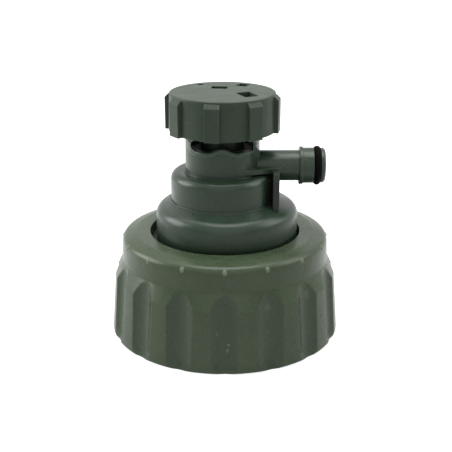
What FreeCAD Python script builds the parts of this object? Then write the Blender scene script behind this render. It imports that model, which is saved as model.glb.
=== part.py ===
"""Jerrycan tap: a ribbed knob turns a ported rotor in a stepped body under a fluted screw collar.

Millimetres, +Z up. The origin is the centre of the collar's foot, and the outlet points along +X.
The knob, the rotor and the neck share the valve's axis, beside the axis of the dome and flange.
"""
import math
import os

import FreeCAD
import Part
import Sketcher

doc = FreeCAD.newDocument("jerrycan_tap")

# Driving sizes
SIZES = {
    # collar, with its walls outside the thread's radius
    "collar_height": 51.1,
    "collar_skirt_height": 30.1,
    "collar_flare": 7.9,
    "collar_thread_play": 2.9,
    "collar_foot_wall": 8.9,
    "collar_shoulder_wall": 6.5,
    "collar_band_wall": 2.7,
    "collar_rim_wall": 2.2,
    "collar_deck": 4.5,
    "collar_hole_play": 2.1,
    "collar_crown_drop": 1.8,
    "collar_rim_round": 1.3,
    "collar_foot_round": 0.8,
    "collar_lead_in": 1.0,
    "collar_thread_end": 33.9,
    "collar_relief": 0.6,
    "flute_count": 16,
    "flute_radius": 10.5,
    "flute_foot_wall": 6.5,
    "flute_head_wall": 3.0,
    "ledge_height": 1.2,
    "ledge_wall": 7.9,
    # can mouth parts
    "spigot_shelf": 5.1,
    "spigot_wall": 2.6,
    "spigot_depth": 8.0,
    "flange_shelf": 5.6,
    "flange_thickness": 4.0,
    "flange_clearance": 0.1,
    "gasket_rim": 0.4,
    "gasket_thickness": 3.0,
    "gasket_clearance": 0.3,
    # stepped body
    "valve_offset": 1.1,
    "dome_eccentricity": 2.1,
    "dome_shelf": 9.6,
    "dome_side": 16.7,
    "dome_crown": 3.7,
    "dome_round": 5.6,
    "dome_wall": 2.8,
    "step_shelf": 7.1,
    "step_height": 14.3,
    "step_round": 3.9,
    "step_wall": 2.6,
    "bead_width": 0.7,
    "bead_height": 0.5,
    # neck
    "neck_shoulder": 7.3,
    "neck_taper": 0.3,
    "neck_height": 24.7,
    "neck_wall": 2.9,
    "cup_depth": 13.5,
    "neck_lip_width": 1.1,
    "neck_lip_height": 2.2,
    # cam windows
    "window_left": 14.7,
    "window_right": 14.3,
    "window_depth": 12.4,
    "window_height": 5.2,
    "bump_height": 2.3,
    "bump_half_width": 7.4,
    "bump_offset": 0.1,
    "window_plane": 5.0,
    # valve
    "bore_radius": 10.4,
    "bore_wall": 2.6,
    "rotor_clearance": 0.08,
    "seat_depth": 12.6,
    "seat_plate": 2.8,
    "seal_thickness": 2.4,
    "seal_clearance": 0.2,
    "seat_gap": 0.1,
    "port_inner_radius": 2.4,
    "port_rim": 3.2,
    "port_angle": 76.0,
    "inlet_rim": 1.4,
    "inlet_length": 12.0,
    "rotor_recess": 2.5,
    "rotor_floor": 2.5,
    "rotor_wall": 3.1,
    "side_port_angle": 54.0,
    "ring_section": 2.0,
    "ring_clearance": 0.03,
    "ring_groove_play": 0.3,
    "ring_distance": 7.1,
    # spring and pin
    "spring_wire": 1.1,
    "spring_play": 0.55,
    "spring_turns": 5.5,
    "spring_rise": 9.6,
    "spring_pocket_radius": 5.2,
    "pin_radius": 1.25,
    "pin_clearance": 0.25,
    "pin_inset": 0.7,
    "pin_root": 1.0,
    "pin_azimuth": 133.0,
    # outlet
    "outlet_rise": 2.1,
    "outlet_wall": 2.55,
    "outlet_bore": 4.8,
    "outlet_reach": 49.3,
    "ridge_width": 1.6,
    "ridge_height": 0.55,
    "end_wall": 3.75,
    "end_length": 6.8,
    "o_ring_section": 3.5,
    "o_ring_height": 0.87,
    "lip_length": 2.0,
    "lip_wall": 3.6,
    "lip_chamfer": 0.8,
    "gusset_setback": 1.6,
    "gusset_thickness": 2.9,
    "gusset_half_width": 16.2,
    "fin_thickness": 2.4,
    "fin_reach": 28.4,
    "fin_end_half_width": 8.2,
    "fin_root": 4.0,
    "fin_root_inset": 0.6,
    # knob
    "knob_height": 18.1,
    "knob_overlap": 4.9,
    "knob_gap": 4.7,
    "knob_taper": 0.4,
    "knob_wall": 2.8,
    "knob_deck": 2.6,
    "knob_edge_round": 0.7,
    "rib_count": 8,
    "rib_height": 2.0,
    "rib_width": 7.1,
    "rib_drop": 1.0,
    "rib_chamfer": 1.8,
    "rib_azimuth": -100.5,
    "hub_wall": 1.4,
    "hub_gap": 1.5,
    "tongue_width": 3.0,
    "tongue_play": 0.1,
    "tongue_inset": 0.42,
    "tongue_thickness": 2.9,
    "tongue_azimuth": 25.0,
    "tongue_reach": 4.1,
    "slot_play": 0.3,
    "slot_end_play": 0.1,
    "hook_count": 3,
    "hook_width": 4.4,
    "hook_thickness": 1.5,
    "hook_play": 0.3,
    "hook_seat": 0.1,
    "barb_height": 1.8,
    "barb_ramp": 1.1,
}

# Openings in the knob's deck: distance from the axis, bearing, two sides and turn, in degrees
OPENING_SIZES = ("reach", "bearing", "side", "width", "turn")
DECK_OPENINGS = {
    "front": (13.4, -31.0, 11.0, 7.1, -67.0),
    "rear": (9.8, 98.8, 7.7, 5.6, -8.0),
    "right": (18.7, 58.0, 5.8, 5.6, 60.0),
    "left": (20.4, 122.0, 3.2, 2.4, 30.0),
}
for name, numbers in DECK_OPENINGS.items():
    for item, number in zip(OPENING_SIZES, numbers):
        SIZES[f"opening_{name}_{item}"] = number

sheet = doc.addObject("Spreadsheet::Sheet", "sizes")
for row, (alias, number) in enumerate(SIZES.items(), start=1):
    sheet.set(f"A{row}", alias)
    sheet.set(f"B{row}", str(number))
    sheet.setAlias(f"B{row}", alias)
doc.recompute()


class Size:
    """A length that knows both its number and the sheet formula it comes from."""

    def __init__(self, value, text):
        self.value = float(value)
        self.text = text

    @staticmethod
    def of(other):
        return other if isinstance(other, Size) else Size(other, repr(float(other)))

    def __add__(self, other):
        other = Size.of(other)
        return Size(self.value + other.value, f"({self.text} + {other.text})")

    def __sub__(self, other):
        other = Size.of(other)
        return Size(self.value - other.value, f"({self.text} - {other.text})")

    def __mul__(self, other):
        other = Size.of(other)
        return Size(self.value * other.value, f"({self.text} * {other.text})")

    def __truediv__(self, other):
        other = Size.of(other)
        return Size(self.value / other.value, f"({self.text} / {other.text})")

    def __radd__(self, other):
        return Size.of(other) + self

    def __rsub__(self, other):
        return Size.of(other) - self

    def __rmul__(self, other):
        return Size.of(other) * self

    def __neg__(self):
        return Size(-self.value, f"(-{self.text})")


class Sheet:
    """Reads a named size from the sheet: size.collar_height and so on."""

    def __getattr__(self, alias):
        if alias not in SIZES:
            raise AttributeError(alias)
        return Size(sheet.get(alias), f"<<sizes>>.{alias}")


size = Sheet()


# Helpers for sketches and features
ORIGIN_POINT = (-1, 1)
X_AXIS_GEOMETRY = -1
Y_AXIS_GEOMETRY = -2
UP = FreeCAD.Vector(0, 0, 1)
SAME_PLACE = 1e-3


def origin_feature(body, role):
    return next(item for item in body.Origin.OriginFeatures if item.Role == role)


def bind(thing, **properties):
    """Ties properties of an object to sheet formulas."""
    for name, value in properties.items():
        thing.setExpression(name, Size.of(value).text)


def new_sketch(body, name, role, lift=None, rise=None, turn=0.0, shift=None):
    """A sketch on an origin plane, turned about its y, shifted and raised in it, lifted along its normal."""
    sketch = body.newObject("Sketcher::SketchObject", name)
    sketch.AttachmentSupport = [(origin_feature(body, role), "")]
    sketch.MapMode = "FlatFace"
    if turn:
        rotation = FreeCAD.Rotation(FreeCAD.Vector(0, 1, 0), turn)
        sketch.AttachmentOffset = FreeCAD.Placement(FreeCAD.Vector(), rotation)
    if lift is not None:
        sketch.setExpression("AttachmentOffset.Base.z", Size.of(lift).text)
    if rise is not None:
        sketch.setExpression("AttachmentOffset.Base.y", Size.of(rise).text)
    if shift is not None:
        sketch.setExpression("AttachmentOffset.Base.x", Size.of(shift).text)
    return sketch


def pin_down(sketch, constraints, formulas, geometry, vertex, spot):
    """Fixes one vertex at its two coordinates."""
    for kind, axis, coordinate in (
        ("DistanceX", Y_AXIS_GEOMETRY, spot[0]),
        ("DistanceY", X_AXIS_GEOMETRY, spot[1]),
    ):
        if coordinate.value == 0.0:
            constraints.append(Sketcher.Constraint("PointOnObject", geometry, vertex, axis))
            formulas.append(None)
        else:
            constraints.append(
                Sketcher.Constraint(kind, *ORIGIN_POINT, geometry, vertex, coordinate.value)
            )
            formulas.append(coordinate.text)


def arc_between(start, end, radius):
    """The short arc from start to end, to the left for a positive radius; returns it with its turn."""
    middle = (start + end) * 0.5
    chord = end - start
    left = FreeCAD.Vector(-chord.y, chord.x, 0) / chord.Length
    height = math.sqrt(max(radius * radius - chord.Length ** 2 / 4, 0.0))
    centre = middle + left * (height if radius > 0 else -height)
    circle = Part.Circle(centre, UP, abs(radius))
    first, last = (start, end) if radius > 0 else (end, start)
    angles = [math.atan2(spot.y - centre.y, spot.x - centre.x) for spot in (first, last)]
    return Part.ArcOfCircle(circle, *angles)


def outline(sketch, corners):
    """A closed outline. A corner with a third value is reached by an arc of that radius."""
    spots = [(Size.of(corner[0]), Size.of(corner[1])) for corner in corners]
    ends = []
    radii = []
    for index, corner in enumerate(corners):
        start, end = (
            FreeCAD.Vector(x.value, y.value, 0) for x, y in (spots[index - 1], spots[index])
        )
        if len(corner) == 3:
            radius = Size.of(corner[2])
            sketch.addGeometry(arc_between(start, end, radius.value), False)
            ends.append((1, 2) if radius.value > 0 else (2, 1))
            radii.append(radius)
        else:
            sketch.addGeometry(Part.LineSegment(start, end), False)
            ends.append((1, 2))
            radii.append(None)
    first = sketch.GeometryCount - len(corners)
    constraints = []
    formulas = []
    for index in range(len(corners)):
        before = (index - 1) % len(corners)
        start = (first + index, ends[index][0])
        last_end = (first + before, ends[before][1])
        constraints.append(Sketcher.Constraint("Coincident", *last_end, *start))
        formulas.append(None)
        pin_down(sketch, constraints, formulas, *start, spots[index - 1])
        if radii[index] is not None:
            constraints.append(Sketcher.Constraint("Radius", first + index, abs(radii[index].value)))
            formulas.append(radii[index].text if radii[index].value > 0 else (-radii[index]).text)
    base = sketch.ConstraintCount
    sketch.addConstraint(constraints)
    for index, formula in enumerate(formulas):
        if formula is not None:
            sketch.setExpression(f"Constraints[{base + index}]", formula)


def circle(sketch, x, y, radius):
    """A full circle, with its centre fixed at two coordinates."""
    x, y, radius = Size.of(x), Size.of(y), Size.of(radius)
    centre = FreeCAD.Vector(x.value, y.value, 0)
    geometry = sketch.addGeometry(Part.Circle(centre, UP, radius.value), False)
    constraints = []
    formulas = []
    pin_down(sketch, constraints, formulas, geometry, 3, (x, y))
    constraints.append(Sketcher.Constraint("Radius", geometry, radius.value))
    formulas.append(radius.text)
    base = sketch.ConstraintCount
    sketch.addConstraint(constraints)
    for index, formula in enumerate(formulas):
        if formula is not None:
            sketch.setExpression(f"Constraints[{base + index}]", formula)


def feature(body, kind, name, sketch, **properties):
    """A sketch based feature of a body."""
    made = body.newObject(f"PartDesign::{kind}", name)
    made.Profile = sketch
    sketch.Visibility = False
    for key, value in properties.items():
        if isinstance(value, Size):
            made.setExpression(key, value.text)
        else:
            setattr(made, key, value)
    return made


def turned(body, name, corners, axis="V_Axis", rise=None, shift=None, cut=False):
    """A full turn of an outline in the upright plane."""
    sketch = new_sketch(body, f"{name}_outline", "XZ_Plane", rise=rise, shift=shift)
    outline(sketch, corners)
    kind = "Groove" if cut else "Revolution"
    return feature(body, kind, name, sketch, ReferenceAxis=(sketch, [axis]), Angle=360.0)


def around(body, name, original, count):
    """Repeats a feature around the upright axis."""
    pattern = body.newObject("PartDesign::PolarPattern", name)
    pattern.Originals = [original]
    pattern.Axis = (origin_feature(body, "Z_Axis"), [""])
    pattern.Angle = 360.0
    if isinstance(count, Size):
        bind(pattern, Occurrences=count)
    else:
        pattern.Occurrences = count
    body.Tip = pattern
    return pattern


def ring_edges(shape, radius, height, shift):
    """Names of the upright rings of a shape with this radius and height, and their axis at this x."""
    names = []
    for index, edge in enumerate(shape.Edges, start=1):
        curve = edge.Curve
        if not isinstance(curve, Part.Circle):
            continue
        centred = math.hypot(curve.Center.x - shift.value, curve.Center.y) < SAME_PLACE
        level = abs(curve.Center.z - height.value) < SAME_PLACE
        alike = abs(curve.Radius - radius.value) < SAME_PLACE
        if centred and level and alike:
            names.append(f"Edge{index}")
    return names


def rounded(body, name, base, radius, *rings, shift=None):
    """Rounds ring edges, each given by its radius and height."""
    doc.recompute()
    names = []
    for ring in rings:
        names += ring_edges(base.Shape, *ring, Size.of(shift or 0))
    fillet = body.newObject("PartDesign::Fillet", name)
    fillet.Base = (base, names)
    bind(fillet, Radius=radius)
    return fillet


def polar(radius, degrees):
    """A spot at a distance and bearing from the axis."""
    angle = math.radians(degrees)
    return radius * math.cos(angle), radius * math.sin(angle)


def sector(sketch, inner, outer, bearing, width):
    """A ring sector about the axis, centred on a bearing."""
    low = bearing - width / 2
    high = bearing + width / 2
    outline(
        sketch,
        [
            polar(inner, low),
            polar(outer, low),
            (*polar(outer, high), outer),
            polar(inner, high),
        ],
    )


def turned_rectangle(sketch, centre, side, width, turn):
    """A rectangle about a centre, with its side along the turn."""
    cosine, sine = math.cos(math.radians(turn)), math.sin(math.radians(turn))
    corners = []
    for along, across in ((-1, -1), (1, -1), (1, 1), (-1, 1)):
        x = centre[0] + side * (along * cosine / 2) - width * (across * sine / 2)
        y = centre[1] + side * (along * sine / 2) + width * (across * cosine / 2)
        corners.append((x, y))
    outline(sketch, corners)


def new_body(label):
    body = doc.addObject("PartDesign::Body", label)
    body.Label = label
    return body


def place(thing, **coordinates):
    """Ties coordinates of an object's place to sheet formulas."""
    for axis, value in coordinates.items():
        thing.setExpression(f"Placement.Base.{axis}", Size.of(value).text)


def stand_on_valve_axis(body):
    """Moves a body that is drawn about the valve's axis from the collar's axis to its place."""
    place(body, x=-size.valve_offset)


# Radii that several pieces share, outward from the bore
rotor_radius = size.bore_radius - size.rotor_clearance
tube_radius = size.bore_radius + size.bore_wall
port_outer_radius = size.bore_radius - size.port_rim
inlet_radius = size.bore_radius - size.inlet_rim
cavity_radius = size.bore_radius - size.rotor_wall
ring_middle = size.bore_radius - size.ring_clearance - size.ring_section / 2
ring_floor = ring_middle - size.ring_section / 2
tongue_outer = rotor_radius - size.tongue_inset
tongue_inner = tongue_outer - size.tongue_thickness
neck_top_radius = size.bore_radius + size.neck_shoulder
neck_foot_radius = neck_top_radius + size.neck_taper
cup_radius = neck_top_radius - size.neck_wall
lip_radius = cup_radius - size.neck_lip_width
knob_inner = neck_top_radius + size.knob_gap
knob_radius = knob_inner + size.knob_wall
step_radius = neck_foot_radius + size.step_shelf
dome_radius = step_radius + size.dome_shelf
spigot_radius = dome_radius + size.spigot_shelf
flange_radius = spigot_radius + size.flange_shelf
thread_radius = flange_radius + size.collar_thread_play

# Levels that several pieces share, upward from the collar's foot
flange_top = size.collar_height - size.collar_deck - size.flange_clearance
flange_foot = flange_top - size.flange_thickness
spigot_foot = flange_foot - size.spigot_depth
dome_corner = flange_top + size.dome_side
dome_top = dome_corner + size.dome_crown
step_top = dome_top + size.step_height
neck_top = step_top + size.neck_height
outlet_height = step_top + size.outlet_rise
fin_foot = outlet_height - size.fin_thickness / 2
cup_floor = neck_top - size.cup_depth
lip_foot = neck_top - size.neck_lip_height
window_floor = neck_top - size.window_depth
seat_floor = outlet_height - size.seat_depth
seat_foot = seat_floor - size.seat_plate
seal_top = seat_floor + size.seal_thickness
rotor_foot = seal_top + size.seat_gap
rotor_top = neck_top - size.rotor_recess
lower_ring_height = outlet_height - size.ring_distance
upper_ring_height = outlet_height + size.ring_distance
spring_floor = outlet_height + size.spring_rise
pin_height = window_floor + size.bump_height + size.pin_clearance + size.pin_radius
knob_foot = neck_top - size.knob_overlap
knob_top = knob_foot + size.knob_height
deck_floor = knob_top - size.knob_deck

# Places along the outlet, back from its end
o_ring_end = size.outlet_reach - size.lip_length
o_ring_start = o_ring_end - size.o_ring_section
ridge_start = o_ring_start - size.end_length
end_radius = size.outlet_bore + size.end_wall
o_ring_middle = end_radius + size.o_ring_height - size.o_ring_section / 2


def build_collar():
    """Fluted union nut: a crowned deck, a smooth band, a flare and a tapering skirt."""
    body = new_body("collar")
    thread = thread_radius
    foot = thread + size.collar_foot_wall
    rim = thread + size.collar_rim_wall
    hole = dome_radius + size.collar_hole_play
    rim_height = size.collar_height - size.collar_crown_drop
    band_height = size.collar_skirt_height + size.collar_flare
    underside = size.collar_height - size.collar_deck
    shell = turned(
        body,
        "shell",
        [
            (thread + size.collar_lead_in, 0),
            (foot, 0),
            (thread + size.collar_shoulder_wall, size.collar_skirt_height),
            (thread + size.collar_band_wall, band_height),
            (rim, rim_height),
            ((rim + hole) / 2, size.collar_height),
            (hole, size.collar_height),
            (hole, underside),
            (thread + size.collar_relief, underside),
            (thread + size.collar_relief, size.collar_thread_end),
            (thread, size.collar_thread_end),
            (thread, size.collar_lead_in),
        ],
    )
    top = rounded(body, "rim_round", shell, size.collar_rim_round, (rim, rim_height))
    rounded(body, "foot_round", top, size.collar_foot_round, (foot, Size.of(0)))

    foot_floor = thread + size.flute_foot_wall
    head_floor = thread + size.flute_head_wall
    lean = (foot_floor - head_floor) / (band_height - size.ledge_height)
    end_rise = size.flute_radius * lean
    sketch = new_sketch(body, "flute_outline", "XZ_Plane")
    outline(
        sketch,
        [
            (foot_floor + size.flute_radius, size.ledge_height + end_rise),
            (head_floor + size.flute_radius, band_height + end_rise),
            (head_floor, band_height),
            (foot_floor, size.ledge_height),
        ],
    )
    flute = feature(body, "Groove", "flute", sketch, ReferenceAxis=(sketch, ["Edge2"]), Angle=360.0)
    around(body, "flutes", flute, size.flute_count)

    sketch = new_sketch(body, "ledge_flute_outline", "XY_Plane")
    circle(sketch, thread + size.ledge_wall + size.flute_radius, 0, size.flute_radius)
    ledge = feature(
        body,
        "Pocket",
        "ledge_flute",
        sketch,
        Length=size.ledge_height * 2,
        Reversed=True,
    )
    around(body, "ledge_flutes", ledge, size.flute_count)
    return body


def build_tap_body():
    """One moulding: spigot, flange, dome, step, neck with cam windows, outlet, fin and gusset."""
    body = new_body("tap_body")
    dome_inner = dome_radius - size.dome_wall
    dome_roof = dome_top - size.dome_wall
    step_inner = step_radius - size.step_wall
    step_roof = step_top - size.step_wall
    inlet_foot = seat_foot - size.inlet_length
    spigot_inner = spigot_radius - size.spigot_wall
    step_bead = step_radius + size.bead_width
    neck_bead = neck_foot_radius + size.bead_width
    cover = turned(
        body,
        "cover",
        [
            (0, dome_roof),
            (step_radius, dome_roof),
            (dome_inner, dome_corner - size.dome_wall),
            (dome_inner, flange_foot),
            (spigot_inner, flange_foot),
            (spigot_inner, spigot_foot),
            (spigot_radius, spigot_foot),
            (spigot_radius, flange_foot),
            (flange_radius, flange_foot),
            (flange_radius, flange_top),
            (dome_radius, flange_top),
            (dome_radius, dome_corner),
            (step_radius, dome_top),
            (0, dome_top),
        ],
        shift=size.dome_eccentricity,
    )
    rounded(
        body,
        "dome_round",
        cover,
        size.dome_round,
        (dome_radius, dome_corner),
        shift=size.dome_eccentricity,
    )
    tower = turned(
        body,
        "tower",
        [
            (0, inlet_foot),
            (tube_radius, inlet_foot),
            (tube_radius, dome_roof),
            (step_bead, dome_roof),
            (step_bead, dome_top + size.bead_height),
            (step_radius, dome_top + size.bead_height),
            (step_radius, step_top),
            (neck_bead, step_top),
            (neck_bead, step_top + size.bead_height),
            (neck_foot_radius, step_top + size.bead_height),
            (neck_top_radius, neck_top),
            (0, neck_top),
        ],
    )
    rounded(body, "step_round", tower, size.step_round, (step_radius, step_top))
    turned(
        body,
        "step_hollow",
        [
            (tube_radius, dome_roof),
            (step_inner, dome_roof),
            (step_inner, step_roof),
            (tube_radius, step_roof),
        ],
        cut=True,
    )

    outlet_radius = size.outlet_bore + size.outlet_wall
    ridge_radius = end_radius + size.ridge_height
    ridge_end = ridge_start + size.ridge_width
    groove_radius = o_ring_middle - size.o_ring_section / 2
    lip_end_radius = size.outlet_bore + size.lip_wall
    turned(
        body,
        "outlet",
        [
            (size.bore_radius, 0),
            (size.bore_radius, outlet_radius),
            (ridge_start, outlet_radius),
            (ridge_start, ridge_radius),
            (ridge_end, ridge_radius),
            (ridge_end, end_radius),
            (o_ring_start, end_radius),
            (o_ring_start, groove_radius),
            (o_ring_end, groove_radius),
            (o_ring_end, lip_end_radius),
            (size.outlet_reach - size.lip_chamfer, lip_end_radius),
            (size.outlet_reach, lip_end_radius - size.lip_chamfer),
            (size.outlet_reach, 0),
        ],
        axis="H_Axis",
        rise=outlet_height,
    )

    gusset_foot = dome_top - size.dome_wall * 3 / 4
    gusset_face = size.fin_reach - size.gusset_setback
    gusset_back = gusset_face - size.gusset_thickness
    sketch = new_sketch(body, "gusset_outline", "XY_Plane", lift=gusset_foot)
    outline(
        sketch,
        [
            (gusset_back, -size.gusset_half_width),
            (gusset_face, -size.gusset_half_width),
            (gusset_face, size.gusset_half_width),
            (gusset_back, size.gusset_half_width),
        ],
    )
    feature(body, "Pad", "gusset", sketch, Length=outlet_height - gusset_foot)

    fin_root_half = neck_top_radius - size.fin_root_inset
    sketch = new_sketch(body, "fin_outline", "XY_Plane", lift=fin_foot)
    outline(
        sketch,
        [
            (size.fin_root, -fin_root_half),
            (size.fin_reach, -size.fin_end_half_width),
            (size.fin_reach, size.fin_end_half_width),
            (size.fin_root, fin_root_half),
        ],
    )
    feature(body, "Pad", "fin", sketch, Length=size.fin_thickness)

    turned(
        body,
        "cup_and_bore",
        [
            (0, neck_top),
            (lip_radius, neck_top),
            (lip_radius, lip_foot),
            (cup_radius, lip_foot),
            (cup_radius, cup_floor),
            (size.bore_radius, cup_floor),
            (size.bore_radius, seat_floor),
            (0, seat_floor),
        ],
        cut=True,
    )
    turned(
        body,
        "inlet",
        [
            (0, seat_foot),
            (inlet_radius, seat_foot),
            (inlet_radius, inlet_foot),
            (0, inlet_foot),
        ],
        cut=True,
    )
    turned(
        body,
        "outlet_bore",
        [
            (port_outer_radius, 0),
            (port_outer_radius, size.outlet_bore),
            (size.outlet_reach, size.outlet_bore),
            (size.outlet_reach, 0),
        ],
        axis="H_Axis",
        rise=outlet_height,
        cut=True,
    )

    sketch = new_sketch(body, "seat_port_outline", "XY_Plane", lift=seat_floor)
    sector(sketch, size.port_inner_radius, port_outer_radius, 0.0, size.port_angle.value)
    port = feature(body, "Pocket", "seat_port", sketch, Length=size.seat_plate)
    around(body, "seat_ports", port, 2)

    sketch = new_sketch(body, "window_outline", "XZ_Plane", lift=size.window_plane)
    outline(sketch, window_corners())
    window = feature(body, "Pocket", "window", sketch, Length=neck_foot_radius, Reversed=True)
    around(body, "windows", window, 2)
    stand_on_valve_axis(body)
    return body


def window_corners():
    """The cam window from the front: one round end, one square end and a bump in its floor."""
    floor = window_floor
    top = floor + size.window_height
    round_end = size.window_height / 2
    rise = size.bump_height / 2
    run = size.bump_half_width / 2
    bend = (run * run + rise * rise) / (rise * 2)
    crest = -size.bump_offset
    return [
        (size.window_right, floor),
        (size.window_right, top),
        (round_end - size.window_left, top),
        (-size.window_left, floor + round_end, round_end),
        (round_end - size.window_left, floor, round_end),
        (crest - size.bump_half_width, floor),
        (crest - run, floor + rise, bend),
        (crest, floor + size.bump_height, -bend),
        (crest + run, floor + rise, -bend),
        (crest + size.bump_half_width, floor, bend),
    ]


def build_knob():
    """Ribbed cap: deck with openings, tapered wall, spring hub, drive tongues and snap hooks."""
    body = new_body("knob")
    knob_foot_radius = knob_radius + size.knob_taper
    hub_inner = size.spring_pocket_radius
    hub_radius = hub_inner + size.hub_wall
    hub_foot = rotor_top + size.hub_gap
    cap = turned(
        body,
        "cap",
        [
            (0, knob_top),
            (0, deck_floor),
            (hub_inner, deck_floor),
            (hub_inner, hub_foot),
            (hub_radius, hub_foot),
            (hub_radius, deck_floor),
            (knob_inner, deck_floor),
            (knob_inner + size.knob_taper, knob_foot),
            (knob_foot_radius, knob_foot),
            (knob_radius, knob_top),
        ],
    )
    rounded(
        body,
        "cap_round",
        cap,
        size.knob_edge_round,
        (knob_radius, knob_top),
        (knob_foot_radius, knob_foot),
    )
    rib_top = knob_top - size.rib_drop
    rib_root = knob_radius - size.knob_wall / 2
    rib_radius = knob_radius + size.rib_height
    sketch = new_sketch(body, "rib_outline", "XZ_Plane", turn=size.rib_azimuth.value)
    outline(
        sketch,
        [
            (rib_root, knob_foot),
            (rib_radius, knob_foot),
            (rib_radius, rib_top - size.rib_chamfer),
            (rib_radius - size.rib_chamfer, rib_top),
            (rib_root, rib_top),
        ],
    )
    rib = feature(body, "Pad", "rib", sketch, Length=size.rib_width, Midplane=True)
    around(body, "ribs", rib, size.rib_count)

    sketch = new_sketch(body, "deck_openings_outline", "XY_Plane", lift=knob_top)
    for name in DECK_OPENINGS:
        reach, bearing, side, width, turn = (
            getattr(size, f"opening_{name}_{item}") for item in OPENING_SIZES
        )
        turned_rectangle(sketch, polar(reach, bearing.value), side, width, turn.value)
    feature(body, "Pocket", "deck_openings", sketch, Length=size.knob_deck)

    sketch = new_sketch(body, "tongue_outline", "XZ_Plane", turn=size.tongue_azimuth.value)
    tongue_foot = rotor_top - size.tongue_reach
    deck_middle = knob_top - size.knob_deck / 2
    outline(
        sketch,
        [
            (tongue_inner, tongue_foot),
            (tongue_outer, tongue_foot),
            (tongue_outer, deck_middle),
            (tongue_inner, deck_middle),
        ],
    )
    tongue = feature(body, "Pad", "tongue", sketch, Length=size.tongue_width, Midplane=True)
    around(body, "tongues", tongue, 2)

    arm_outer = lip_radius - size.hook_play
    arm_inner = arm_outer - size.hook_thickness
    barb_tip = cup_radius - size.hook_play
    barb_top = lip_foot - size.hook_seat
    hook_foot = barb_top - size.barb_height
    sketch = new_sketch(body, "hook_outline", "XZ_Plane", turn=-90.0)
    outline(
        sketch,
        [
            (arm_inner, hook_foot),
            (arm_outer, hook_foot),
            (barb_tip, hook_foot + size.barb_ramp),
            (barb_tip, barb_top),
            (arm_outer, barb_top),
            (arm_outer, deck_middle),
            (arm_inner, deck_middle),
        ],
    )
    hook = feature(body, "Pad", "hook", sketch, Length=size.hook_width, Midplane=True)
    around(body, "hooks", hook, size.hook_count)
    stand_on_valve_axis(body)
    return body


def build_valve_rotor():
    """Hollow barrel: ported foot, four side ports, two ring grooves, spring pocket and drive slots."""
    body = new_body("valve_rotor")
    groove_half = (size.ring_section + size.ring_groove_play) / 2
    corners = [(0, rotor_foot), (rotor_radius, rotor_foot)]
    for middle in (lower_ring_height, upper_ring_height):
        corners += [
            (rotor_radius, middle - groove_half),
            (ring_floor, middle - groove_half),
            (ring_floor, middle + groove_half),
            (rotor_radius, middle + groove_half),
        ]
    corners += [(rotor_radius, rotor_top), (0, rotor_top)]
    turned(body, "barrel", corners)
    cavity_foot = rotor_foot + size.rotor_floor
    side_port_foot = outlet_height - size.outlet_bore
    turned(
        body,
        "cavity",
        [
            (0, cavity_foot),
            (cavity_radius, cavity_foot),
            (cavity_radius, outlet_height + size.outlet_bore),
            (0, outlet_height + size.outlet_bore),
        ],
        cut=True,
    )
    turned(
        body,
        "spring_pocket",
        [
            (0, spring_floor),
            (size.spring_pocket_radius, spring_floor),
            (size.spring_pocket_radius, rotor_top),
            (0, rotor_top),
        ],
        cut=True,
    )
    sketch = new_sketch(body, "foot_port_outline", "XY_Plane", lift=cavity_foot)
    sector(sketch, size.port_inner_radius, port_outer_radius, 90.0, size.port_angle.value)
    port = feature(body, "Pocket", "foot_port", sketch, Length=size.rotor_floor)
    around(body, "foot_ports", port, 2)

    sketch = new_sketch(body, "side_port_outline", "XY_Plane", lift=side_port_foot)
    sector(
        sketch,
        cavity_radius - size.ring_section,
        tube_radius,
        0.0,
        size.side_port_angle.value,
    )
    side = feature(
        body, "Pocket", "side_port", sketch, Length=size.outlet_bore * 2, Reversed=True
    )
    around(body, "side_ports", side, 4)

    sketch = new_sketch(body, "drive_slot_outline", "XZ_Plane", turn=size.tongue_azimuth.value)
    slot_foot = rotor_top - size.tongue_reach - size.slot_end_play
    slot_root = tongue_inner - size.slot_play
    outline(
        sketch,
        [
            (slot_root, slot_foot),
            (tube_radius, slot_foot),
            (tube_radius, rotor_top),
            (slot_root, rotor_top),
        ],
    )
    slot = feature(
        body,
        "Pocket",
        "drive_slot",
        sketch,
        Length=size.tongue_width + size.tongue_play * 2,
        Midplane=True,
    )
    around(body, "drive_slots", slot, 2)

    hole = body.newObject("PartDesign::SubtractiveCylinder", "pin_hole")
    bind(hole, Radius=size.pin_radius, Height=size.bore_radius)
    lay_along_pin(hole, size.spring_pocket_radius - size.pin_radius)
    body.Tip = hole
    stand_on_valve_axis(body)
    return body


def lay_along_pin(cylinder, root, shift=0):
    """Lays an upright cylinder along the pin's bearing, from this distance off the rotor's axis."""
    x, y = polar(root, size.pin_azimuth.value)
    outward = FreeCAD.Vector(x.value, y.value, 0)
    cylinder.Placement.Rotation = FreeCAD.Rotation(UP, outward)
    place(cylinder, x=x - shift, y=y, z=pin_height)


def build_detent_pin():
    """Cross pin of the rotor; its free end travels in the rear cam window."""
    pin = doc.addObject("Part::Cylinder", "detent_pin")
    pin.Label = "detent_pin"
    root = size.spring_pocket_radius + size.pin_root
    bind(pin, Radius=size.pin_radius, Height=neck_top_radius - size.pin_inset - root)
    lay_along_pin(pin, root, size.valve_offset)
    return pin


def build_seat_seal():
    """Rubber disc with the seat's two ports."""
    body = new_body("seat_seal")
    radius = size.bore_radius - size.seal_clearance
    turned(
        body,
        "disc",
        [(0, seat_floor), (radius, seat_floor), (radius, seal_top), (0, seal_top)],
    )
    sketch = new_sketch(body, "port_outline", "XY_Plane", lift=seal_top)
    sector(sketch, size.port_inner_radius, port_outer_radius, 0.0, size.port_angle.value)
    port = feature(body, "Pocket", "port", sketch, Length=size.seal_thickness)
    around(body, "ports", port, 2)
    stand_on_valve_axis(body)
    return body


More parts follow.
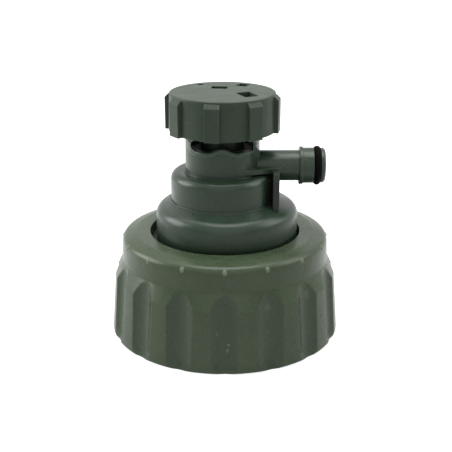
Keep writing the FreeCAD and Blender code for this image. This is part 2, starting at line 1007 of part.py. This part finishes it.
def build_mouth_gasket():
    """Flat rubber ring under the flange."""
    body = new_body("mouth_gasket")
    inner = spigot_radius + size.gasket_clearance
    outer = flange_radius + size.gasket_rim
    foot = flange_foot - size.gasket_thickness
    turned(
        body,
        "ring",
        [
            (inner, foot),
            (outer, foot),
            (outer, flange_foot),
            (inner, flange_foot),
        ],
    )
    place(body, x=size.dome_eccentricity - size.valve_offset)
    return body


def build_ring(label, middle, section, height):
    """A rubber ring about the rotor's axis."""
    ring = doc.addObject("Part::Torus", label)
    ring.Label = label
    bind(ring, Radius1=middle, Radius2=section / 2)
    place(ring, x=-size.valve_offset, z=height)
    return ring


def build_outlet_o_ring():
    """The rubber ring near the outlet's end."""
    ring = doc.addObject("Part::Torus", "outlet_o_ring")
    ring.Label = "outlet_o_ring"
    bind(ring, Radius1=o_ring_middle, Radius2=size.o_ring_section / 2)
    ring.Placement.Rotation = FreeCAD.Rotation(UP, FreeCAD.Vector(1, 0, 0))
    place(
        ring,
        x=o_ring_start + size.o_ring_section / 2 - size.valve_offset,
        z=outlet_height,
    )
    return ring


def build_rotor_spring():
    """Compression spring between the rotor's pocket and the knob's deck."""
    length = deck_floor - spring_floor - size.spring_wire - size.seat_gap * 2
    radius = size.spring_pocket_radius - size.spring_play - size.spring_wire / 2
    helix = doc.addObject("Part::Helix", "spring_line")
    bind(helix, Radius=radius, Height=length, Pitch=length / size.spring_turns)
    wire = doc.addObject("Part::Circle", "spring_section")
    bind(wire, Radius=size.spring_wire / 2)
    wire.Placement.Rotation = FreeCAD.Rotation(FreeCAD.Vector(1, 0, 0), 90)
    place(wire, x=radius)
    spring = doc.addObject("Part::Sweep", "rotor_spring")
    spring.Label = "rotor_spring"
    spring.Sections = [wire]
    spring.Spine = (helix, ["Edge1"])
    spring.Solid = True
    spring.Frenet = True
    place(spring, x=-size.valve_offset, z=spring_floor + size.spring_wire / 2 + size.seat_gap)
    return spring


pieces = [
    build_collar(),
    build_tap_body(),
    build_knob(),
    build_valve_rotor(),
    build_seat_seal(),
    build_mouth_gasket(),
    build_ring("rotor_o_ring_lower", ring_middle, size.ring_section, lower_ring_height),
    build_ring("rotor_o_ring_upper", ring_middle, size.ring_section, upper_ring_height),
    build_outlet_o_ring(),
    build_rotor_spring(),
    build_detent_pin(),
]
doc.recompute()

# Nothing is written unless every feature and every piece is sound
for thing in doc.Objects:
    if {"Invalid", "Error"} & set(thing.State):
        raise RuntimeError(f"{thing.Name} failed: {thing.State}")
for piece in pieces:
    if piece.Shape.isNull() or not piece.Shape.isValid():
        raise RuntimeError(f"{piece.Label} has no sound shape")

os.makedirs("parts", exist_ok=True)
for piece in pieces:
    piece.Shape.exportStep(f"parts/{piece.Label}.step")
    solids = len(piece.Shape.Solids)
    print(f"{piece.Label}: {solids} solid, {piece.Shape.Volume:.1f} mm3")
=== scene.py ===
"""Dresses the jerrycan tap: moulded green plastic with nubs, seams and scuffs, rubber and steel.

The collar's solid gives way to a shell of the same sizes with soft flute edges. Its grip nubs and
thread and the borders of the cam windows are added, and every other piece keeps its solid's shape.
"""
import itertools
import math

import bmesh
import bpy
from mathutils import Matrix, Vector


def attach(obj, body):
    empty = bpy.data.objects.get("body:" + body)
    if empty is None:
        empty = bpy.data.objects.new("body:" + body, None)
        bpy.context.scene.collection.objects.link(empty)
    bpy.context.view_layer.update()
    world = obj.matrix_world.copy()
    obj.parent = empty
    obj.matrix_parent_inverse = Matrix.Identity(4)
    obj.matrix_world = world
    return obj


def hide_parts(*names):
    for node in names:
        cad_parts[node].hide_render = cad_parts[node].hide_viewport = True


MM = 0.001

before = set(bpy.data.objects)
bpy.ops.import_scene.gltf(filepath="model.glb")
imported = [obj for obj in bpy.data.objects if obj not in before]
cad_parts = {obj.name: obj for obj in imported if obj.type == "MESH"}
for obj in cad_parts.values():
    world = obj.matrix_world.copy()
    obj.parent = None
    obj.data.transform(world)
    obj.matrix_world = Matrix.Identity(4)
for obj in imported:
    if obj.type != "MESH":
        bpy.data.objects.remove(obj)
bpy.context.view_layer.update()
scene = bpy.context.scene
scene.view_settings.view_transform = "Standard"

# Collar as its solid has it, in millimetres; a pair is a radius and a height
FLUTES = 16
PITCH = 2 * math.pi / FLUTES
FLUTE_RADIUS = 10.5
FLUTE_FOOT = (54.8, 1.2)
FLUTE_HEAD = (51.3, 38.0)
LEDGE_FLOOR = 56.2
THREAD_RADIUS = 48.3
RIM = (50.5, 49.3)
BAND_FOOT = (51.0, 38.0)
SHOULDER = (54.8, 30.1)
FOOT = (57.2, 0.0)
COLLAR_PROFILE = [
    (36.8, 46.6),
    (36.8, 51.1),
    (43.65, 51.1),
    RIM,
    BAND_FOOT,
    SHOULDER,
    FOOT,
    (49.3, 0.0),
    (THREAD_RADIUS, 1.0),
    (THREAD_RADIUS, 33.9),
    (48.9, 33.9),
    (48.9, 46.6),
]

# What only the collar's shell has, in millimetres: the rounding of each corner of the profile,
# how softly flutes and ledge run into the skin, and where they end
RIM_ROUND = 3.4
COLLAR_ROUNDS = [0.4, 0.5, 6.0, RIM_ROUND, 2.4, 2.6, 0.8, 0.3, 0.2, 0.2, 0.2, 0.4]
FLUTE_SOFTNESS = 0.22
FLUTE_RUN_IN = 0.35
FLUTES_TOP = 39.5
LEDGE_SOFTNESS = 0.4
LEDGE_TOP = 4.0
SKIN_INSIDE = 50.2
# Turns from a flute's middle at which the shell has vertices, in radians, closer at its edges
FLUTE_TURNS = [
    0.015, 0.03, 0.045, 0.06, 0.075, 0.09, 0.102, 0.112, 0.117, 0.122, 0.127, 0.133, 0.145, 0.165
]

# Neck, in millimetres; a pair is a radius about the valve's axis and a height
VALVE_X = -1.1
NECK_HEAD = (17.7, 105.9)
NECK_FOOT = (18.0, 81.7)
WINDOW_FLOOR = 93.5


def at(radius, bearing, height):
    """A point in metres about the collar's axis, from millimetres and radians."""
    return (radius * math.cos(bearing) * MM, radius * math.sin(bearing) * MM, height * MM)


def radius_at(height, start, end):
    """Radius in millimetres at a height on the straight line through two corners of a profile."""
    return start[0] + (end[0] - start[0]) * (height - start[1]) / (end[1] - start[1])


# Shader nodes: each helper gives back the output that the next one takes
MIX_BASE, MIX_LAYER, MIX_RESULT = 6, 7, 2  # a Mix node's colours share their names with others


def node(tree, kind, *terms, **values):
    """Adds a shader node: terms go to its inputs in order, values to inputs or properties by name.

    What comes from another node is linked, and anything else is set.
    """
    made = tree.nodes.new(kind)
    for name, value in [*enumerate(terms), *values.items()]:
        if isinstance(value, bpy.types.NodeSocket):
            tree.links.new(value, made.inputs[name])
        elif isinstance(name, int) or name in made.inputs:
            made.inputs[name].default_value = value
        else:
            setattr(made, name, value)
    return made


def reckoned(tree, operation, *terms):
    """The result of one operation on numbers."""
    return node(tree, "ShaderNodeMath", *terms, operation=operation).outputs["Value"]


def length_of(tree, vector):
    return node(tree, "ShaderNodeVectorMath", vector, operation="LENGTH").outputs["Value"]


def ranged(tree, value, start=0.0, end=1.0, low=0.0, high=1.0):
    """A number taken from one range to another and held at its ends."""
    return node(tree, "ShaderNodeMapRange", value, start, end, low, high).outputs["Result"]


def noise(tree, place, scale, detail, roughness=0.5):
    return node(
        tree, "ShaderNodeTexNoise", place, Scale=scale, Detail=detail, Roughness=roughness
    ).outputs["Fac"]


def openness(tree, reach, samples, inside=False):
    """How open the space round a point is, or the body behind it, within so many millimetres."""
    return node(
        tree, "ShaderNodeAmbientOcclusion", Distance=reach * MM, samples=samples, inside=inside
    ).outputs["AO"]


def bumped(tree, height, strength, depth, **values):
    """A surface's direction, bent by a height that is so many millimetres deep."""
    return node(
        tree, "ShaderNodeBump", Height=height, Strength=strength, Distance=depth * MM, **values
    ).outputs["Normal"]


def scaled(colour, factor, lift=0.0):
    return [channel * factor + lift for channel in colour]


def mixed_colour(tree, factor, low, high):
    """A ramp from one colour to another, driven by a factor that seldom leaves its middle."""
    ramp = node(tree, "ShaderNodeValToRGB", factor)
    for stop, colour, position in zip(ramp.color_ramp.elements, (low, high), (0.3, 0.7)):
        stop.color = (*colour, 1)
        stop.position = position
    return ramp.outputs["Color"]


def over(tree, mask, base, colour):
    """Lays a colour over another where the mask is high."""
    mix = node(tree, "ShaderNodeMix", mask, data_type="RGBA")
    tree.links.new(base, mix.inputs[MIX_BASE])
    mix.inputs[MIX_LAYER].default_value = (*colour, 1)
    return mix.outputs[MIX_RESULT]


def spot_mask(tree, place, bearing, radius, height, sizes, strength):
    """A small ellipsoid that fades out at its rim; half sizes go deep, across and up."""
    angle = math.radians(bearing)
    move = node(
        tree,
        "ShaderNodeMapping",
        place,
        vector_type="TEXTURE",
        Location=at(radius, angle, height),
        Rotation=(0, 0, angle),
        Scale=scaled(sizes, MM),
    )
    return ranged(tree, length_of(tree, move.outputs["Vector"]), 1.0, 0.4, high=strength)


def flute_shade_mask(tree, place, strength):
    """Marks the flutes for painted shade: points well behind the collar's two outer cones."""
    flat = node(tree, "ShaderNodeVectorMath", place, (1, 1, 0), operation="MULTIPLY")
    radius = length_of(tree, flat.outputs["Vector"])
    height = node(tree, "ShaderNodeSeparateXYZ", place).outputs["Z"]
    depth = reckoned(tree, "SUBTRACT", FLUTES_TOP * MM, height)
    for low, high in ((FOOT, SHOULDER), (SHOULDER, BAND_FOOT)):
        slope = (high[0] - low[0]) / (high[1] - low[1])
        cone = reckoned(tree, "MULTIPLY_ADD", height, slope, radius_at(0.0, low, high) * MM)
        behind = reckoned(tree, "SUBTRACT", cone, radius)
        depth = reckoned(tree, "MINIMUM", depth, behind)
    return ranged(tree, depth, 0.02 * MM, 0.25 * MM, high=strength)


# Materials
def new_material(name):
    """A material, its node tree, its shader and the object's coordinates."""
    made = bpy.data.materials.new(name)
    made.use_nodes = True
    tree = made.node_tree
    place = node(tree, "ShaderNodeTexCoord").outputs["Object"]
    return made, tree, tree.nodes["Principled BSDF"], place


def moulded(
    name, colour, roughness, specular=0.3, edge=0.25, marks=(), flutes=None, hollows=False
):
    """Satin moulded plastic: mottled, grained, marked, with painted highlight on its edges
    and painted shade in its corners.

    Edges look rounded by a radius in millimetres. The colour of flutes, where given, is painted
    shade that darkens them. With hollows, the depths of openings get painted shade and go dull.
    """
    made, tree, shader, place = new_material(name)
    shader.inputs["IOR"].default_value = 1.46
    shader.inputs["Specular IOR Level"].default_value = specular

    clouds = noise(tree, place, scale=70.0, detail=4.0, roughness=0.6)
    skin = mixed_colour(tree, clouds, scaled(colour, 0.9), scaled(colour, 1.1))
    specks = noise(tree, place, scale=520.0, detail=2.0)
    dust = ranged(tree, specks, 0.67, 0.74, high=0.22)
    skin = over(tree, dust, skin, scaled(colour, 2.2, lift=0.01))
    # Painted shade: the flutes' recesses are darkened.
    if flutes:
        skin = over(tree, flute_shade_mask(tree, place, strength=0.75), skin, flutes)

    # Painted shade: corners and creases, where the space round a point is closed in, are darkened.
    crease = openness(tree, reach=5.0 if hollows else 1.4, samples=8)
    crease_shade = ranged(tree, crease, 0.8, 0.35, high=0.7)
    skin = over(tree, crease_shade, skin, scaled(colour, 0.3))
    # Painted highlight: convex edges, where the body behind a point is thin, are lightened.
    rim = openness(tree, reach=0.5, samples=6, inside=True)
    edge_highlight = ranged(tree, rim, 0.95, 0.6, high=0.5)
    skin = over(tree, edge_highlight, skin, scaled(colour, 2.0, lift=0.01))

    patches = noise(tree, place, scale=180.0, detail=3.0, roughness=0.55)
    dull = ranged(tree, patches, low=roughness - 0.07, high=roughness + 0.09)
    # Painted shade: the depths of openings are darkened, besides being made dull.
    if hollows:
        shelter = openness(tree, reach=16.0, samples=16)
        deep = ranged(tree, shelter, 0.4, 0.2, high=0.95)
        skin = over(tree, deep, skin, scaled(colour, 0.1))
        dull = reckoned(tree, "MAXIMUM", dull, deep)

    for *spot, shade, strength in marks:
        skin = over(tree, spot_mask(tree, place, *spot, strength), skin, shade)
    tree.links.new(skin, shader.inputs["Base Color"])
    tree.links.new(dull, shader.inputs["Roughness"])

    soft_edge = node(tree, "ShaderNodeBevel", samples=6, Radius=edge * MM).outputs["Normal"]
    fine = noise(tree, place, scale=2600.0, detail=2.0)
    grain = bumped(tree, fine, strength=0.35, depth=0.04, Normal=soft_edge)
    broad = noise(tree, place, scale=120.0, detail=2.0)
    sink = bumped(tree, broad, strength=0.3, depth=0.3, Normal=grain)
    tree.links.new(sink, shader.inputs["Normal"])
    return made


def rubber(name, colour):
    """Black rubber with a dusty bloom."""
    made, tree, shader, place = new_material(name)
    shader.inputs["Specular IOR Level"].default_value = 0.03
    bloom = noise(tree, place, scale=400.0, detail=5.0, roughness=0.65)
    tint = mixed_colour(tree, bloom, colour, scaled(colour, 1.9))
    tree.links.new(tint, shader.inputs["Base Color"])
    tree.links.new(ranged(tree, bloom, low=0.5, high=0.7), shader.inputs["Roughness"])
    skin = bumped(tree, bloom, strength=0.3, depth=0.05)
    tree.links.new(skin, shader.inputs["Normal"])
    return made


def drawn_steel(name, colour):
    """Drawn wire and ground pins: fine scratches in a grey metal."""
    made, tree, shader, place = new_material(name)
    shader.inputs["Metallic"].default_value = 1.0
    lines = noise(tree, place, scale=1500.0, detail=3.0)
    tint = mixed_colour(tree, lines, scaled(colour, 0.8), colour)
    tree.links.new(tint, shader.inputs["Base Color"])
    tree.links.new(ranged(tree, lines, low=0.22, high=0.42), shader.inputs["Roughness"])
    return made


BODY_GREEN = (0.027, 0.050, 0.030)
KNOB_GREEN = (0.052, 0.073, 0.052)
COLLAR_GREEN = (0.053, 0.080, 0.041)
# Painted shade for the flutes' recesses
FLUTE_SHADE_GREEN = (0.045, 0.067, 0.039)
# Darker than the body's green: painted shade for the rotor inside the neck
ROTOR_SHADE_GREEN = (0.018, 0.028, 0.020)
NUB_GREEN = (0.1, 0.135, 0.085)
RUBBER_BLACK = (0.003, 0.003, 0.003)
STEEL_GREY = (0.55, 0.55, 0.56)
DARK_MARK = (0.018, 0.024, 0.014)
SHADE = (0.004, 0.007, 0.004)
SCUFF = (0.30, 0.36, 0.28)
PALE = (0.11, 0.15, 0.085)

# Marks: bearing in degrees, radius and height in millimetres, half sizes deep, across and up,
# colour and strength
COLLAR_MARKS = [
    # Dark and pale patches and parting lines on the top
    (-95.6, 40.6, 51.0, (0.9, 4.0, 3.0), DARK_MARK, 0.55),
    (-52.0, 41.0, 51.0, (1.2, 5.0, 3.0), DARK_MARK, 0.45),
    (-141.0, 45.0, 50.6, (1.4, 4.0, 3.0), DARK_MARK, 0.3),
    (-112.0, 47.0, 50.2, (1.2, 5.0, 3.0), PALE, 0.35),
    (-4.5, 42.0, 51.0, (6.0, 0.35, 3.0), DARK_MARK, 0.8),
    (-144.5, 41.5, 51.0, (4.0, 0.3, 3.0), DARK_MARK, 0.7),
    # Chips and scuffs on the skirt
    (-68.5, 55.8, 18.0, (3.0, 0.8, 1.6), SCUFF, 0.8),
    (-88.2, 54.5, 13.6, (3.0, 0.9, 0.5), SCUFF, 0.6),
    (-88.7, 54.4, 10.9, (3.0, 0.5, 1.1), SCUFF, 0.55),
    (-93.9, 54.3, 19.1, (3.0, 0.6, 0.6), SCUFF, 0.4),
    (-28.2, 55.9, 15.7, (3.0, 0.5, 1.0), DARK_MARK, 0.8),
    (-120.5, 55.0, 10.0, (3.0, 0.7, 0.5), SCUFF, 0.35),
    (-68.0, 53.0, 30.0, (3.0, 2.2, 2.6), SCUFF, 0.16),
    (-43.0, 53.0, 31.0, (3.0, 1.8, 3.0), SCUFF, 0.14),
]
BODY_MARKS = [
    # Parting lines of steps and neck
    (180.0, 24.0, 80.0, (6.0, 0.25, 3.0), DARK_MARK, 0.8),
    (0.0, 34.0, 63.0, (5.0, 0.25, 3.0), DARK_MARK, 0.8),
    (180.0, 34.0, 63.0, (5.0, 0.25, 3.0), DARK_MARK, 0.8),
    (-25.5, 17.9, 97.0, (1.5, 0.3, 11.0), DARK_MARK, 0.7),
    # The shaded front edge of the gusset
    (-34.0, 29.2, 72.5, (3.2, 3.2, 15.0), SHADE, 0.85),
]
KNOB_MARKS = [
    # Scuffs beside the left rib
    (-152.0, 25.6, 108.5, (3.0, 0.4, 0.9), SCUFF, 0.5),
    (-149.0, 25.6, 111.5, (3.0, 0.3, 0.6), SCUFF, 0.4),
]

body_plastic = moulded(
    "body_plastic",
    BODY_GREEN,
    roughness=0.29,
    specular=0.45,
    edge=0.35,
    marks=BODY_MARKS,
    hollows=True,
)
knob_plastic = moulded(
    "knob_plastic",
    KNOB_GREEN,
    roughness=0.4,
    specular=0.18,
    edge=0.5,
    marks=KNOB_MARKS,
    hollows=True,
)
collar_plastic = moulded(
    "collar_plastic",
    COLLAR_GREEN,
    roughness=0.27,
    specular=0.38,
    edge=0.15,
    marks=COLLAR_MARKS,
    flutes=FLUTE_SHADE_GREEN,
)
nub_plastic = moulded("nub_plastic", NUB_GREEN, roughness=0.4)
rotor_plastic = moulded("rotor_plastic", ROTOR_SHADE_GREEN, roughness=0.4)
black_rubber = rubber("black_rubber", RUBBER_BLACK)
steel = drawn_steel("drawn_steel", STEEL_GREY)

FINISHES = {
    "collar": collar_plastic,
    "tap_body": body_plastic,
    "knob": knob_plastic,
    "valve_rotor": rotor_plastic,
    "seat_seal": black_rubber,
    "mouth_gasket": black_rubber,
    "rotor_o_ring_lower": black_rubber,
    "rotor_o_ring_upper": black_rubber,
    "outlet_o_ring": black_rubber,
    "rotor_spring": steel,
    "detent_pin": steel,
}
for name, finish in FINISHES.items():
    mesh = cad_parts[name].data
    mesh.materials.clear()
    mesh.materials.append(finish)


# Mesh helpers
def piece(name, bm, finish, body, sharp_angle):
    """Turns a bmesh into a piece on a body; edges sharper than an angle in degrees stay sharp."""
    mesh = bpy.data.meshes.new(name)
    bmesh.ops.recalc_face_normals(bm, faces=bm.faces)
    bm.to_mesh(mesh)
    bm.free()
    made = bpy.data.objects.new(name, mesh)
    scene.collection.objects.link(made)
    mesh.materials.append(finish)
    mesh.shade_smooth()
    mesh.set_sharp_from_angle(angle=math.radians(sharp_angle))
    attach(made, body)
    return made


def rounded_outline(corners, rounds, steps=6):
    """A closed outline with each corner replaced by a tangent arc of its own radius."""
    points = []
    count = len(corners)
    for index, (corner, radius) in enumerate(zip(corners, rounds)):
        here = Vector(corner)
        before = (Vector(corners[index - 1]) - here).normalized()
        after = (Vector(corners[(index + 1) % count]) - here).normalized()
        half = before.angle(after) / 2
        reach = radius / math.tan(half)
        centre = here + (before + after).normalized() * (radius / math.sin(half))
        first = here + before * reach - centre
        last = here + after * reach - centre
        turn = first.angle_signed(last)
        for step in range(steps + 1):
            angle = -turn * step / steps
            spoke = Vector(
                (
                    first.x * math.cos(angle) - first.y * math.sin(angle),
                    first.x * math.sin(angle) + first.y * math.cos(angle),
                )
            )
            points.append(centre + spoke)
    return points


def subdivided(points, longest):
    """The same closed outline with no stretch longer than its place allows."""
    result = []
    for index, start in enumerate(points):
        end = points[(index + 1) % len(points)]
        middle = (start + end) / 2
        pieces = max(1, math.ceil((end - start).length / longest(middle)))
        result += [start.lerp(end, part / pieces) for part in range(pieces)]
    return result


def soft_min(a, b, width):
    """The smaller of two numbers, with a soft passage where they are near."""
    near = max(width - abs(a - b), 0.0) / width
    return min(a, b) - near * near * width / 4


def bridge(bm, rows, closed=False):
    """Faces between rows of vertices, each a ring, and from the last to the first if closed."""
    for index in range(len(rows) if closed else len(rows) - 1):
        here, there = rows[index], rows[(index + 1) % len(rows)]
        for spot in range(len(here)):
            following = (spot + 1) % len(here)
            bm.faces.new((here[spot], there[spot], there[following], here[following]))


def cap_ends(bm, rows):
    """Closes a bridged tube at its first and last rows."""
    bm.faces.new(rows[0])
    bm.faces.new(rows[-1])


# Collar
def cut_wall(centre, angle):
    """Distance from the axis to the near wall of an upright cut, at an angle from its middle."""
    side = centre * math.sin(angle)
    if abs(side) >= FLUTE_RADIUS:
        return math.inf
    return centre * math.cos(angle) - math.sqrt(FLUTE_RADIUS ** 2 - side ** 2)


def collar_reach(radius, height, angle):
    """Where the outer skin stands at a height and an angle from a flute's middle."""
    slope = (FLUTE_HEAD[0] - FLUTE_FOOT[0]) / (FLUTE_HEAD[1] - FLUTE_FOOT[1])
    floor = FLUTE_FOOT[0] + slope * (height - FLUTE_FOOT[1])
    flute_bottom = FLUTE_FOOT[1] - slope * (radius - FLUTE_FOOT[0])
    reach = radius
    if height < LEDGE_TOP:
        reach = soft_min(radius, cut_wall(LEDGE_FLOOR + FLUTE_RADIUS, angle), LEDGE_SOFTNESS)
    if height > flute_bottom:
        flute = cut_wall(floor + FLUTE_RADIUS, angle)
        share = min(1.0, (height - flute_bottom) / FLUTE_RUN_IN)
        reach += (soft_min(radius, flute, FLUTE_SOFTNESS) - reach) * share
    return reach


def longest_stretch(spot):
    """How far apart the outline's points may lie: closest on the ledge, close at flute heads."""
    inner, plain, flute_head, ledge = 3.0, 2.2, 0.6, 0.22
    ledge_end, head_start = 2.6, 29.0
    radius, height = spot
    if radius < SKIN_INSIDE:
        return inner
    if height < ledge_end:
        return ledge
    return flute_head if head_start < height < FLUTES_TOP else plain


def make_collar():
    """The fluted nut with soft flute edges, on the same sizes as its solid."""
    outline = subdivided(rounded_outline(COLLAR_PROFILE, COLLAR_ROUNDS), longest_stretch)
    turns = [-PITCH / 2, *(-turn for turn in reversed(FLUTE_TURNS)), 0.0, *FLUTE_TURNS]
    bm = bmesh.new()
    rings = []
    for flute, offset in itertools.product(range(FLUTES), turns):
        angle = flute * PITCH + offset
        ring = []
        for radius, height in outline:
            if radius > SKIN_INSIDE and height < FLUTE_HEAD[1]:
                radius = collar_reach(radius, height, offset)
            ring.append(bm.verts.new(at(radius, angle - math.pi / 2, height)))
        rings.append(ring)
    bridge(bm, rings, closed=True)
    made = piece("collar_shell", bm, collar_plastic, "collar", 75.0)
    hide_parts("collar")


def make_nubs():
    """Small moulded grip marks high on the collar's band, one above each flute."""
    circles, steps = 6, 14
    half_width, half_height = 1.1, 1.45
    middle_radius, middle_height = 50.6, 47.8
    crown, sunk, fullness = 0.42, 0.05, 2.5
    rim_start = 46.7
    bm = bmesh.new()
    for flute in range(FLUTES):
        bearing = flute * PITCH - math.pi / 2
        rows = []
        for circle in range(circles):
            share = circle / (circles - 1)
            row = []
            for step in range(steps):
                turn = 2 * math.pi * step / steps
                across = half_width * share * math.cos(turn)
                height = middle_height + half_height * share * math.sin(turn)
                proud = crown * (1 - share ** fullness) - sunk
                radius = radius_at(height, RIM, BAND_FOOT) + proud
                radius -= max(height - rim_start, 0.0) ** 2 / (2 * RIM_ROUND)
                row.append(bm.verts.new(at(radius, bearing + across / middle_radius, height)))
            rows.append(row)
        bridge(bm, rows)
        bmesh.ops.remove_doubles(bm, verts=rows[0], dist=1e-7)
    piece("grip_nubs", bm, nub_plastic, "collar", 80.0)


def make_thread():
    """The collar's inner thread: a rounded ridge of about four turns with tapered ends."""
    first, last, lead = 4.0, 29.0, 6.0
    steps_per_turn = 96
    taper = 1 / 8  # of a turn
    root = 0.1  # how deep the ridge stands in the wall
    section = [(-root, -1.7), (0.9, -0.95), (1.6, -0.5), (1.6, 0.5), (0.9, 0.95), (-root, 1.7)]
    turns = (last - first) / lead
    steps = int(turns * steps_per_turn)
    bm = bmesh.new()
    rows = []
    for step in range(steps + 1):
        share = step / steps
        angle = 2 * math.pi * turns * share
        full = min(1.0, min(share, 1 - share) * turns / taper)
        row = []
        for proud, up in section:
            radius = THREAD_RADIUS + root - (proud + root) * full
            row.append(bm.verts.new(at(radius, angle, first + lead * turns * share + up)))
        rows.append(row)
    bridge(bm, rows)
    cap_ends(bm, rows)
    piece("collar_thread", bm, collar_plastic, "collar", 60.0)


# Neck
def window_edge():
    """The lower edge of the front cam window, left to right, in the plane across the neck."""
    left, right = -14.7, 14.3
    corner = 2.6
    crest, crest_half, crest_rise = -0.1, 7.4, 2.3
    points = [
        (left + corner - corner * math.cos(turn), WINDOW_FLOOR + corner - corner * math.sin(turn))
        for turn in (math.pi / 2 * step / 8 for step in range(-2, 9))
    ]
    for step in range(1, 41):
        x = left + corner + (right - left - corner) * step / 40
        share = min(1.0, abs(x - crest) / crest_half)
        points.append((x, WINDOW_FLOOR + crest_rise * (1 - share * share * (3 - 2 * share))))
    points.append((right, WINDOW_FLOOR + corner))
    return points


def make_window_bands():
    """Raised border under each cam window, following its wavy edge round the neck."""
    # Distance below the window's edge and height above the neck's skin
    section = [(0.1, -0.6), (0.1, 0.1), (0.35, 0.3), (1.9, 0.3), (2.2, 0.1), (2.3, -0.4)]
    widest = 0.94  # share of the radius that a band reaches to each side
    edge = [Vector(point) for point in window_edge()]
    bm = bmesh.new()
    for side in (1, -1):
        rows = []
        for index, spot in enumerate(edge):
            before = edge[max(index - 1, 0)]
            after = edge[min(index + 1, len(edge) - 1)]
            run = (after - before).normalized()
            away = Vector((run.y, -run.x))
            row = []
            for out, proud in section:
                x, z = spot + away * out
                radius = radius_at(z, NECK_HEAD, NECK_FOOT) + proud
                x = max(-radius * widest, min(radius * widest, x))
                y = -math.sqrt(radius * radius - x * x)
                row.append(bm.verts.new(((VALVE_X + x * side) * MM, y * side * MM, z * MM)))
            rows.append(row)
        bridge(bm, rows)
        cap_ends(bm, rows)
    piece("window_bands", bm, body_plastic, "tap", 50.0)


make_collar()
make_nubs()
make_thread()
make_window_bands()


# Floor, light and camera; gloss reflects less of the white room from in front than from behind
FRONT_SHARE = 0.35


def seen_rays(tree, share):
    """One for the camera's rays, and a share of one for glossy and transmission rays."""
    rays = node(tree, "ShaderNodeLightPath").outputs
    indirect = reckoned(tree, "MAXIMUM", rays["Is Glossy Ray"], rays["Is Transmission Ray"])
    part = reckoned(tree, "MULTIPLY", indirect, share)
    return reckoned(tree, "MAXIMUM", rays["Is Camera Ray"], part)


def make_floor():
    """A pale floor that keeps the object's shadow and is seen as white further off."""
    bm = bmesh.new()
    bmesh.ops.create_grid(bm, x_segments=1, y_segments=1, size=3.0)
    mesh = bpy.data.meshes.new("floor")
    bm.to_mesh(mesh)
    bm.free()
    floor = bpy.data.objects.new("floor", mesh)
    floor.location.z = -0.2 * MM
    scene.collection.objects.link(floor)

    made, tree, shader, place = new_material("floor")
    shader.inputs["Base Color"].default_value = (0.6, 0.6, 0.6, 1)
    shader.inputs["Roughness"].default_value = 0.9
    shader.inputs["Specular IOR Level"].default_value = 0.0
    backward = node(tree, "ShaderNodeSeparateXYZ", place).outputs["Y"]
    seen = seen_rays(tree, ranged(tree, backward, -0.25, 0.25, low=FRONT_SHARE))
    glow = ranged(tree, length_of(tree, place), 0.12, 0.6, low=0.72)
    light = node(tree, "ShaderNodeEmission", Strength=reckoned(tree, "MULTIPLY", seen, glow))
    both = node(tree, "ShaderNodeAddShader", shader.outputs["BSDF"], light.outputs["Emission"])
    tree.links.new(both.outputs["Shader"], tree.nodes["Material Output"].inputs["Surface"])
    floor.data.materials.append(made)


def make_world():
    """A white room that lights the object faintly, more from behind; the lamps do the rest."""
    world = bpy.data.worlds.new("room")
    scene.world = world
    world.use_nodes = True
    tree = world.node_tree
    place = node(tree, "ShaderNodeTexCoord").outputs["Generated"]
    backward = node(tree, "ShaderNodeSeparateXYZ", place).outputs["Y"]
    room = ranged(tree, backward, -1.0, low=0.02, high=0.22)
    seen = seen_rays(tree, ranged(tree, backward, -1.0, 0.0, low=FRONT_SHARE))
    background = tree.nodes["Background"]
    background.inputs["Color"].default_value = (1, 1, 1, 1)
    tree.links.new(reckoned(tree, "MAXIMUM", seen, room), background.inputs["Strength"])


def soft_lamp(name, place, width, height, power):
    """A soft box pointed at the middle of the object, in metres and watts."""
    middle = Vector((0, 0, 0.06))
    light = bpy.data.lights.new(name, "AREA")
    light.shape = "RECTANGLE"
    light.size = width
    light.size_y = height
    light.energy = power
    lamp = bpy.data.objects.new(name, light)
    lamp.location = place
    lamp.rotation_euler = (middle - Vector(place)).to_track_quat("-Z", "Y").to_euler()
    scene.collection.objects.link(lamp)


def make_camera():
    """The photograph's viewpoint, fitted to the object's round edges."""
    camera_data = bpy.data.cameras.new("camera")
    camera = bpy.data.objects.new("camera", camera_data)
    scene.collection.objects.link(camera)
    pitch = 21.64
    distance = 443.1
    target = Vector((0, 0, 37.3))
    back = Vector((0, -math.cos(math.radians(pitch)), math.sin(math.radians(pitch))))
    camera.location = (target + back * distance) * MM
    camera.rotation_euler = (math.radians(90 - pitch), 0, 0)
    camera_data.sensor_width = 36.0
    camera_data.lens = 70.09
    camera_data.shift_x = 0.00265
    camera_data.shift_y = 0.0608
    camera_data.clip_start = 0.01
    camera_data.clip_end = 20.0
    scene.camera = camera


make_floor()
make_world()
soft_lamp("top", place=(0.0, -0.02, 0.85), width=0.5, height=0.5, power=3.5)
soft_lamp("back", place=(0.0, 0.22, 0.8), width=1.3, height=0.4, power=2.0)
soft_lamp("front", place=(0.0, -1.0, 0.55), width=1.2, height=1.2, power=3.2)
soft_lamp("left", place=(-0.75, 0.1, 0.4), width=0.5, height=0.5, power=4.4)
soft_lamp("right", place=(0.72, 0.0, 0.6), width=0.5, height=0.5, power=2.2)
make_camera()
